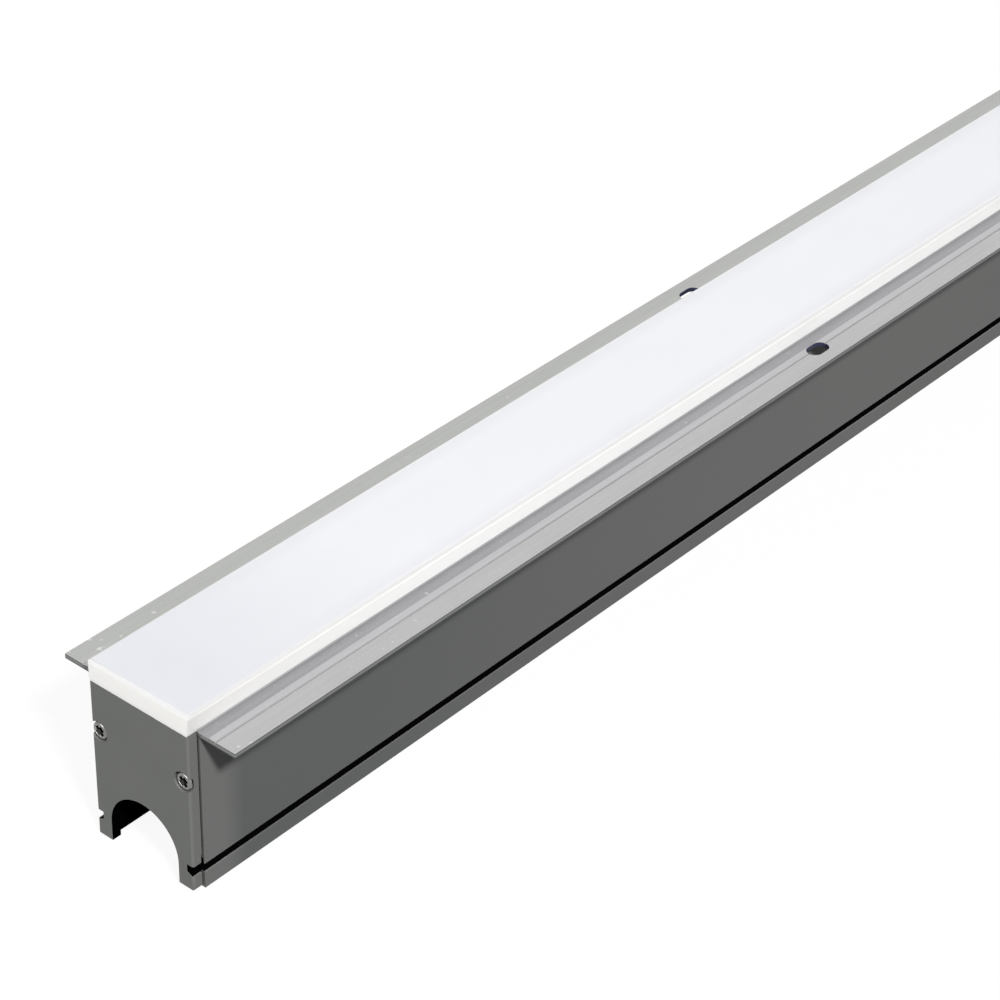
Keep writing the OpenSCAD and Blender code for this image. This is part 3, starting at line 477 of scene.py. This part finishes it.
def screw_mesh(head_r):
    """One screw along X, its head's top at the origin and its tip towards +X."""
    crown_r = head_r - HEAD_EDGE
    profile = [(0, 0)]
    for ring in range(1, CROWN_RINGS + 1):
        share = ring / CROWN_RINGS
        profile.append((HEAD_CROWN * share ** 2, crown_r * share))
    for degrees in range(SHOULDER_STEP, 90 + SHOULDER_STEP, SHOULDER_STEP):
        a = math.radians(degrees)
        profile.append((HEAD_CROWN + HEAD_EDGE * (1 - math.cos(a)), head_r - HEAD_EDGE * (1 - math.sin(a))))
    profile += [(HEAD_H - HEAD_UNDERCUT, head_r), (HEAD_H, head_r - HEAD_UNDERCUT), (HEAD_H, THREAD_R)]
    for i in range(int((SHANK_L - 2 * THREAD_PITCH) / THREAD_PITCH)):
        start = HEAD_H + (i + 0.5) * THREAD_PITCH
        profile += [(start, CORE_R), (start + THREAD_PITCH / 2, THREAD_R)]
    tip = HEAD_H + SHANK_L
    profile += [(tip - TIP_H, CORE_R), (tip, TIP_R), (tip, 0)]
    blank = bpy.data.objects.new("blank", lathe(profile, "blank"))
    punch = bpy.data.objects.new("punch", recess_punch("punch"))
    for part in (blank, punch):
        bpy.context.scene.collection.objects.link(part)
    cut = blank.modifiers.new("Recess", "BOOLEAN")
    cut.object = punch
    cut.solver = "EXACT"
    cut.use_self = True
    mesh = bpy.data.meshes.new_from_object(blank.evaluated_get(bpy.context.evaluated_depsgraph_get()))
    for part in (blank, punch):
        bpy.data.objects.remove(part)
    return mesh


HEAD_TOP_X = 499.9  # mm from the middle to the top of the heads
SHADE_DEPTH = (0.75, 0.85)  # mm below the top, where the steel turns to painted black shade
SHADE_RISE = 0.55  # mm, in the recess the painted shade starts this much higher
CROWN_R = 1.95  # mm from the axis, the recess lies within this
HEADING_MARK = 0.25  # mm between the marks of the heading tool, coarser than the real 0.1 mm
HEADING_RELIEF = 0.01  # mm deep
screw_low, screw_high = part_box("end_screws_left")
screw_r = (screw_high[2] - screw_low[2]) / 2 / MM
screw_y = screw_high[1] / MM - screw_r
screw_z = screw_low[2] / MM + screw_r

# The eye sees a mid grey ring with a sharp glint on its shoulder, round a black cross: the
# recess and the gap round the head are painted black, as painted shade.
cold_headed_steel, tree, place = new_material("cold_headed_stainless_steel")
marks = add(tree, "TexNoise", {"Scale": 1 / HEADING_MARK, "Detail": 2.0}, {"Vector": place}).outputs["Fac"]
apart = add(tree, "VectorMath", {"operation": "ABSOLUTE"}, {0: place}).outputs[0]
along = add(tree, "SeparateXYZ", links={0: apart}).outputs["X"]
deep = add(tree, "Math", {"operation": "SUBTRACT", 0: HEAD_TOP_X}, {1: along}).outputs[0]
from_axis = add(tree, "VectorMath", {"operation": "SUBTRACT", 1: (0, screw_y, screw_z)},
                {0: apart}).outputs[0]
from_axis = add(tree, "VectorMath", {"operation": "MULTIPLY", 1: (0, 1, 1)}, {0: from_axis}).outputs[0]
from_axis = add(tree, "VectorMath", {"operation": "LENGTH"}, {0: from_axis}).outputs["Value"]
in_recess = add(tree, "Math", {"operation": "LESS_THAN", 1: CROWN_R}, {0: from_axis}).outputs[0]
rise = add(tree, "Math", {"operation": "MULTIPLY", 1: SHADE_RISE}, {0: in_recess}).outputs[0]
deep = add(tree, "Math", {"operation": "ADD"}, {0: deep, 1: rise}).outputs[0]
recess_shade = add(tree, "MapRange", {"From Min": SHADE_DEPTH[0], "From Max": SHADE_DEPTH[1]},
            {"Value": deep}).outputs[0]
tone = add(tree, "Mix", {"data_type": "RGBA", 6: colour("#7b7a77"), 7: colour("#8a8986")},
           {0: marks}).outputs[2]
# Painted shade: the recess and the head's flank are painted black.
tone = add(tree, "Mix", {"data_type": "RGBA", 7: colour("#060606")}, {0: recess_shade, 6: tone}).outputs[2]
shine = add(tree, "MapRange", {"To Min": 1.0, "To Max": 0.0}, {"Value": recess_shade}).outputs[0]
dull = add(tree, "MapRange", {"To Min": 0.16, "To Max": 0.28}, {"Value": marks}).outputs[0]
bump = add(tree, "Bump", {"Strength": 0.2, "Distance": HEADING_RELIEF * MM}, {"Height": marks}).outputs[0]
shader = add(tree, "BsdfPrincipled", {"Specular IOR Level": 0.1},
             {"Base Color": tone, "Metallic": shine, "Roughness": dull, "Normal": bump})
add(tree, "OutputMaterial", links={"Surface": shader.outputs[0]})

for end in ("left", "right"):
    low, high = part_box("end_screws_" + end)
    head_r = (high[2] - low[2]) / 2
    outside = low[0] if end == "left" else high[0]
    pair = bmesh.new()
    for side in (-1, 1):
        screw = screw_mesh(head_r)
        screw.transform(Matrix.Rotation(0 if end == "left" else math.pi, 4, "Z"))
        screw.transform(Matrix.Translation((outside, side * (high[1] - head_r), (low[2] + high[2]) / 2)))
        pair.from_mesh(screw)
    for face in pair.faces:
        face.smooth = True
    mesh = bpy.data.meshes.new("end_screw_pair_" + end)
    pair.to_mesh(mesh)
    pair.free()
    mesh.materials.append(cold_headed_steel)
    screws = bpy.data.objects.new("end_screw_pair_" + end, mesh)
    bpy.context.scene.collection.objects.link(screws)
    shade = screws.modifiers.new("Even shading", "EDGE_SPLIT")
    shade.split_angle = math.radians(SMOOTH_TURN)
    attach(screws, "root")
    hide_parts("end_screws_" + end)


# Cable glands, vent plug and rubber seals
# Glands and plug are moulded in black glass-filled nylon and sit on rubber rings. The plug is
# screwed into the web, and a lock nut clamps each gland to it. The end gaskets are cut from
# sheet rubber and squeezed between cap and housing.
NYLON_SKIN = 0.4  # mm between the dimples over the glass fibres, coarser than the real 0.1 mm
RUBBER_SKIN = 0.3  # mm between the pits of the rubber, coarser than the real 0.1 mm
SKIN_RELIEF = 0.02  # mm deep

# The eye sees a deep black with a dull, faintly rough skin.
black_nylon, tree, place = new_material("black_glass_filled_nylon")
skin = add(tree, "TexNoise", {"Scale": 1 / NYLON_SKIN, "Detail": 3.0}, {"Vector": place}).outputs["Fac"]
tone = add(tree, "Mix", {"data_type": "RGBA", 6: colour("#17181a"), 7: colour("#232427")},
           {0: skin}).outputs[2]
bump = add(tree, "Bump", {"Strength": 0.25, "Distance": SKIN_RELIEF * MM}, {"Height": skin}).outputs[0]
shader = add(tree, "BsdfPrincipled", {"Roughness": 0.5, "IOR": 1.53}, {"Base Color": tone, "Normal": bump})
add(tree, "OutputMaterial", links={"Surface": shader.outputs[0]})
dress(black_nylon, "gland_body_left", "gland_body_right", "gland_dome_nut_left", "gland_dome_nut_right",
      "gland_lock_nut_left", "gland_lock_nut_right", "vent_plug")

# The eye sees a black line with no shine at all between cap and housing.
black_rubber, tree, place = new_material("black_epdm_rubber")
skin = add(tree, "TexNoise", {"Scale": 1 / RUBBER_SKIN, "Detail": 3.0}, {"Vector": place}).outputs["Fac"]
tone = add(tree, "Mix", {"data_type": "RGBA", 6: colour("#0b0b0c"), 7: colour("#131314")},
           {0: skin}).outputs[2]
bump = add(tree, "Bump", {"Strength": 0.3, "Distance": SKIN_RELIEF * MM}, {"Height": skin}).outputs[0]
shader = add(tree, "BsdfPrincipled", {"Roughness": 0.8, "IOR": 1.52, "Specular IOR Level": 0.1},
             {"Base Color": tone, "Normal": bump})
add(tree, "OutputMaterial", links={"Surface": shader.outputs[0]})
dress(black_rubber, "end_gasket_left", "end_gasket_right", "gland_seal_left", "gland_seal_right",
      "gland_ring_seals", "vent_ring_seal")


# End caps
# Each is a 3.1 mm plate, die cast in aluminium, powder coated in a fine grey texture and
# held by two screws. Its arch lets the cable out of the channel.
ORANGE_PEEL = 0.5  # mm between the bumps of the coating
PEEL_RELIEF = 0.02  # mm deep
COAT_PATCH = 14  # mm across a patch where the coating is a little paler
ARCH_R = 12.06  # mm, just outside the arch
ARCH_Z = 7.2  # mm, the middle of the arch
NOTCH_Y = 14.65  # mm from the middle to the dark part of the notch at the clip groove
NOTCH_HALF_W = 2.15  # mm
NOTCH_Z = 7.5  # mm, the middle of that dark part
NOTCH_HALF_H = 2.0  # mm
CAP_EDGE = 0.15 * MM  # round on the cap's edges

# The eye sees an even, matt grey with a soft light line down each rounded edge. The arch and
# the notches face away from the light and are painted black as shade; the sides are painted a little paler as
# painted light.
coated_cap, tree, place = new_material("grey_powder_coat")
peel = add(tree, "TexNoise", {"Scale": 1 / ORANGE_PEEL, "Detail": 2.0}, {"Vector": place}).outputs["Fac"]
cloud = add(tree, "TexNoise", {"Scale": 1 / COAT_PATCH, "Detail": 2.0}, {"Vector": place}).outputs["Fac"]
axes = add(tree, "SeparateXYZ", links={0: place})
off_middle = add(tree, "Math", {"operation": "ABSOLUTE"}, {0: axes.outputs["Y"]}).outputs[0]
above_arch = add(tree, "Math", {"operation": "SUBTRACT", 1: ARCH_Z}, {0: axes.outputs["Z"]}).outputs[0]
above_arch = add(tree, "Math", {"operation": "MAXIMUM", 1: 0.0}, {0: above_arch}).outputs[0]
from_arch = add(tree, "CombineXYZ", {}, {0: off_middle, 1: above_arch}).outputs[0]
from_arch = add(tree, "VectorMath", {"operation": "LENGTH"}, {0: from_arch}).outputs["Value"]
in_arch = add(tree, "Math", {"operation": "LESS_THAN", 1: ARCH_R}, {0: from_arch}).outputs[0]
normal = add(tree, "NewGeometry").outputs["Normal"]
facing = add(tree, "SeparateXYZ", links={0: normal})
sideways = add(tree, "Math", {"operation": "ABSOLUTE"}, {0: facing.outputs["Y"]}).outputs[0]
endways = add(tree, "Math", {"operation": "ABSOLUTE"}, {0: facing.outputs["X"]}).outputs[0]
in_notch = add(tree, "Math", {"operation": "LESS_THAN", 1: 0.5}, {0: endways}).outputs[0]
at_notch_y = add(tree, "Math", {"operation": "COMPARE", 1: NOTCH_Y, 2: NOTCH_HALF_W},
                 {0: off_middle}).outputs[0]
at_notch_z = add(tree, "Math", {"operation": "COMPARE", 1: NOTCH_Z, 2: NOTCH_HALF_H},
                 {0: axes.outputs["Z"]}).outputs[0]
in_notch = add(tree, "Math", {"operation": "MULTIPLY"}, {0: in_notch, 1: at_notch_y}).outputs[0]
in_notch = add(tree, "Math", {"operation": "MULTIPLY"}, {0: in_notch, 1: at_notch_z}).outputs[0]
in_painted_shade = add(tree, "Math", {"operation": "MAXIMUM"}, {0: in_arch, 1: in_notch}).outputs[0]
tone = add(tree, "Mix", {"data_type": "RGBA", 6: colour("#696b68"), 7: colour("#6f706d")},
           {0: cloud}).outputs[2]
# Painted light: the faces that look sideways are painted a little paler.
tone = add(tree, "Mix", {"data_type": "RGBA", 7: colour("#737471")}, {0: sideways, 6: tone}).outputs[2]
# Painted shade: the arch and the notches are painted black.
tone = add(tree, "Mix", {"data_type": "RGBA", 7: colour("#030303")}, {0: in_painted_shade, 6: tone}).outputs[2]
shine = add(tree, "MapRange", {"To Min": 0.15, "To Max": 0.0}, {"Value": in_painted_shade}).outputs[0]
bump = add(tree, "Bump", {"Strength": 0.3, "Distance": PEEL_RELIEF * MM}, {"Height": peel}).outputs[0]
shader = add(tree, "BsdfPrincipled", {"Roughness": 0.5, "IOR": 1.5, "Specular IOR Level": 0.0},
             {"Base Color": tone, "Metallic": shine, "Normal": bump})
add(tree, "OutputMaterial", links={"Surface": shader.outputs[0]})
dress(coated_cap, "end_cap_left", "end_cap_right")
soften(CAP_EDGE, "end_cap_left", "end_cap_right")


# Cover and its seals
# The cover is one moulding of opal polycarbonate that snaps in over the caps and lights evenly.
# A grey silicone strip lies under each of its shoulders.
SEAL_STREAK = 3.0  # mm between the streaks of the extrusion
OPAL_CLOUD = 25  # mm across a patch where the opal is a little denser
OPAL_SCATTER = 2.0 * MM  # how far light wanders inside the opal
COVER_END_X = (420, 485)  # mm from the middle, the cover is painted duller between these, as painted shade
WALL_LINE = (0.9, 1.7, 6.0)  # mm from the side: the line starts, is darkest, and has faded
COVER_EDGE = 0.3 * MM  # round on the cover's edges
cover_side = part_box("diffuser_cover")[1][1] / MM

TOP_WHITE = "#e7e7ea"
TOP_WALL_SHADE = "#dcdcde"
TOP_END = "#dadbdf"
SIDE_WHITE = "#fffffb"
SIDE_END = "#f0efec"
EDGE_SHADE = "#d3d2d1"

# The eye sees a soft, even, light grey line that gives back no glint.
grey_silicone, tree, place = new_material("grey_silicone")
flow = add(tree, "TexNoise", {"Scale": 1 / SEAL_STREAK, "Detail": 2.0}, {"Vector": place}).outputs["Fac"]
tone = add(tree, "Mix", {"data_type": "RGBA", 6: colour("#a5a5a4"), 7: colour("#aeaead")},
           {0: flow}).outputs[2]
shader = add(tree, "BsdfPrincipled", {"Roughness": 0.6, "IOR": 1.41}, {"Base Color": tone})
add(tree, "OutputMaterial", links={"Surface": shader.outputs[0]})
dress(grey_silicone, "cover_seal_near", "cover_seal_far")

# The eye sees a cool white top and warmer, brighter sides, painted so as painted light. The rounded edges are
# painted a little duller as painted shade, and a faint line of painted shade on the top follows the inner
# face of the wall.
opal_polycarbonate, tree, place = new_material("opal_polycarbonate")
cloud = add(tree, "TexNoise", {"Scale": 1 / OPAL_CLOUD, "Detail": 3.0}, {"Vector": place}).outputs["Fac"]
axes = add(tree, "SeparateXYZ", links={0: place})
along = add(tree, "Math", {"operation": "ABSOLUTE"}, {0: axes.outputs["X"]}).outputs[0]
off_middle = add(tree, "Math", {"operation": "ABSOLUTE"}, {0: axes.outputs["Y"]}).outputs[0]
at_end = add(tree, "MapRange", {"From Min": COVER_END_X[0], "From Max": COVER_END_X[1]},
             {"Value": along}).outputs[0]

from_side = add(tree, "Math", {"operation": "SUBTRACT", 0: cover_side}, {1: off_middle}).outputs[0]
grows = add(tree, "MapRange", {"From Min": WALL_LINE[0], "From Max": WALL_LINE[1]},
            {"Value": from_side}).outputs[0]
fades = add(tree, "MapRange", {"From Min": WALL_LINE[2], "From Max": WALL_LINE[1], "To Max": 0.55},
            {"Value": from_side}).outputs[0]
wall_shade_line = add(tree, "Math", {"operation": "MULTIPLY"}, {0: grows, 1: fades}).outputs[0]
# Painted shade: a darker line on the top over the inner face of the wall.
top_tone = add(tree, "Mix", {"data_type": "RGBA", 6: colour(TOP_WHITE), 7: colour(TOP_WALL_SHADE)},
               {0: wall_shade_line}).outputs[2]
# Painted shade: towards the ends the top and the sides are painted duller.
top_tone = add(tree, "Mix", {"data_type": "RGBA", 7: colour(TOP_END)}, {0: at_end, 6: top_tone}).outputs[2]
side_tone = add(tree, "Mix", {"data_type": "RGBA", 6: colour(SIDE_WHITE), 7: colour(SIDE_END)},
                {0: at_end}).outputs[2]

# A face is flat where one part of its normal is nearly one, and on a rounded edge where none is.
normal = add(tree, "NewGeometry").outputs["Normal"]
upward = add(tree, "SeparateXYZ", links={0: normal}).outputs["Z"]
on_top = add(tree, "MapRange", {"From Min": 0.6, "From Max": 0.8}, {"Value": upward}).outputs[0]
flattest = add(tree, "VectorMath", {"operation": "ABSOLUTE"}, {0: normal}).outputs[0]
flattest = add(tree, "SeparateXYZ", links={0: flattest})
flat = add(tree, "Math", {"operation": "MAXIMUM"},
           {0: flattest.outputs["X"], 1: flattest.outputs["Y"]}).outputs[0]
flat = add(tree, "Math", {"operation": "MAXIMUM"}, {0: flat, 1: flattest.outputs["Z"]}).outputs[0]
on_edge = add(tree, "MapRange", {"From Min": 0.996, "From Max": 0.86}, {"Value": flat}).outputs[0]
on_edge = add(tree, "Math", {"operation": "POWER", 1: 0.5}, {0: on_edge}).outputs[0]

# Painted light: the sides are painted brighter and warmer than the top.
tone = add(tree, "Mix", {"data_type": "RGBA"}, {0: on_top, 6: side_tone, 7: top_tone}).outputs[2]
# Painted shade: the rounded edges are painted duller than the faces.
tone = add(tree, "Mix", {"data_type": "RGBA", 7: colour(EDGE_SHADE)}, {0: on_edge, 6: tone}).outputs[2]
dense = add(tree, "MapRange", {"From Min": 0.3, "From Max": 0.7, "To Min": 0.992, "To Max": 1.008},
            {"Value": cloud}).outputs[0]
tone = add(tree, "VectorMath", {"operation": "SCALE"}, {0: tone, "Scale": dense}).outputs[0]
shader = add(tree, "BsdfPrincipled",
             {"Roughness": 0.38, "IOR": 1.58, "Specular IOR Level": 0.31, "Subsurface Weight": 0.35,
              "Subsurface Radius": (1.0, 0.97, 0.92), "Subsurface Scale": OPAL_SCATTER},
             {"Base Color": tone})
add(tree, "OutputMaterial", links={"Surface": shader.outputs[0]})
dress(opal_polycarbonate, "diffuser_cover")
soften(COVER_EDGE, "diffuser_cover")


# Studio
# A white paper floor that keeps a soft shadow, a pale room and five soft boxes. What looks
# straight at the floor or the room sees plain white, and the object gets far less from them.
PAPER_FIBRE = 0.6  # mm, coarser than the real 0.1 mm
FLOOR_REACH = 6.0  # metres from the middle
SHADOW_SHARE = 0.07  # part of the floor's picture that takes the light and the shadow
ROOM_LEVEL = 0.17  # how strongly the room lights the object
BOUNCE_LEVEL = 0.08  # how strongly the floor throws light back at the object


def seen_directly(tree):
    """One for what the camera, a mirror image or a clear body shows, and zero for what lights the object."""
    path = add(tree, "LightPath").outputs
    seen = add(tree, "Math", {"operation": "MAXIMUM"},
               {0: path["Is Camera Ray"], 1: path["Is Glossy Ray"]}).outputs[0]
    return add(tree, "Math", {"operation": "MAXIMUM"}, {0: seen, 1: path["Is Transmission Ray"]}).outputs[0]


# The eye sees plain white that only takes a faint shadow.
paper, tree, place = new_material("white_paper_floor")
fibre = add(tree, "TexNoise", {"Scale": 1 / PAPER_FIBRE, "Detail": 2.0}, {"Vector": place}).outputs["Fac"]
seen = seen_directly(tree)
tone = add(tree, "Mix", {"data_type": "RGBA", 6: colour("#fcfcfc"), 7: colour("#ffffff")},
           {0: fibre}).outputs[2]
level = add(tree, "MapRange", {"To Min": BOUNCE_LEVEL, "To Max": 1.0}, {"Value": seen}).outputs[0]
tone = add(tree, "VectorMath", {"operation": "SCALE"}, {0: tone, "Scale": level}).outputs[0]
matt = add(tree, "BsdfDiffuse", {}, {"Color": tone})
glow = add(tree, "Emission", {"Color": colour("#ffffff"), "Strength": 1.0})
share = add(tree, "Math", {"operation": "MULTIPLY", 1: 1 - SHADOW_SHARE}, {0: seen}).outputs[0]
shader = add(tree, "MixShader", {}, {0: share, 1: matt.outputs[0], 2: glow.outputs[0]})
add(tree, "OutputMaterial", links={"Surface": shader.outputs[0]})

floor_mesh = bpy.data.meshes.new("floor")
corners = [(x * FLOOR_REACH, y * FLOOR_REACH, 0) for x, y in ((-1, -1), (1, -1), (1, 1), (-1, 1))]
floor_mesh.from_pydata(corners, [], [(0, 1, 2, 3)])
floor_mesh.materials.append(paper)
floor = bpy.data.objects.new("floor", floor_mesh)
bpy.context.scene.collection.objects.link(floor)

world = bpy.data.worlds.new("pale_room")
bpy.context.scene.world = world
world.use_nodes = True
tree = world.node_tree
tree.nodes.clear()
seen = seen_directly(tree)
tone = add(tree, "Mix", {"data_type": "RGBA", 6: colour("#f2f6fc"), 7: colour("#ffffff")},
           {0: seen}).outputs[2]
level = add(tree, "MapRange", {"To Min": ROOM_LEVEL, "To Max": 1.0}, {"Value": seen}).outputs[0]
room = add(tree, "Background", {}, {"Color": tone, "Strength": level})
add(tree, "OutputWorld", links={"Surface": room.outputs[0]})

# Name, direction from the object, distance and width in metres, and level of each soft box.
# At level 1 a white card that faces the box renders as white.
BOX_AIM = Vector((-0.3, 0, 0.03))  # metres
SOFT_BOXES = [
    ("key_box", (-0.34, -0.61, 0.717), 5.0, 0.5, 1.1),
    ("left_box", (-0.95, 0.2, 0.15), 3.0, 1.2, 0.51),
    ("front_box", (-0.1, -0.95, 0.12), 3.0, 1.2, 0.11),
    ("back_box", (0.1, 0.97, 0.12), 4.0, 1.5, 0.5),
    ("right_box", (0.97, 0.1, 0.12), 4.0, 1.5, 0.25),
]
for name, direction, distance, width, level in SOFT_BOXES:
    lamp = bpy.data.lights.new(name, "AREA")
    lamp.size = width
    lamp.energy = level * (math.pi * distance) ** 2
    box = bpy.data.objects.new(name, lamp)
    box.location = BOX_AIM + Vector(direction).normalized() * distance
    box.rotation_euler = (BOX_AIM - box.location).to_track_quat("-Z", "Y").to_euler()
    bpy.context.scene.collection.objects.link(box)


# Camera at the photograph's viewing angle
LENS = 111.21  # mm
SENSOR_W = 36  # mm
NEAREST = 0.01  # metres, nothing nearer is drawn
CAMERA_SPOT = (-0.89878, -0.44544, 0.51527)  # metres
CAMERA_AIM = (-0.34984, 0.01215, 0.030)  # metres
CAMERA_ROLL = 1.4636  # degrees

camera_data = bpy.data.cameras.new("camera")
camera_data.lens = LENS
camera_data.sensor_width = SENSOR_W
camera_data.clip_start = NEAREST
camera = bpy.data.objects.new("camera", camera_data)
aimed = (Vector(CAMERA_AIM) - Vector(CAMERA_SPOT)).to_track_quat("-Z", "Y").to_matrix().to_4x4()
rolled = Matrix.Rotation(math.radians(CAMERA_ROLL), 4, "Z")
camera.matrix_world = Matrix.Translation(CAMERA_SPOT) @ aimed @ rolled
bpy.context.scene.collection.objects.link(camera)
bpy.context.scene.camera = camera

bpy.context.scene.view_settings.view_transform = "Standard"
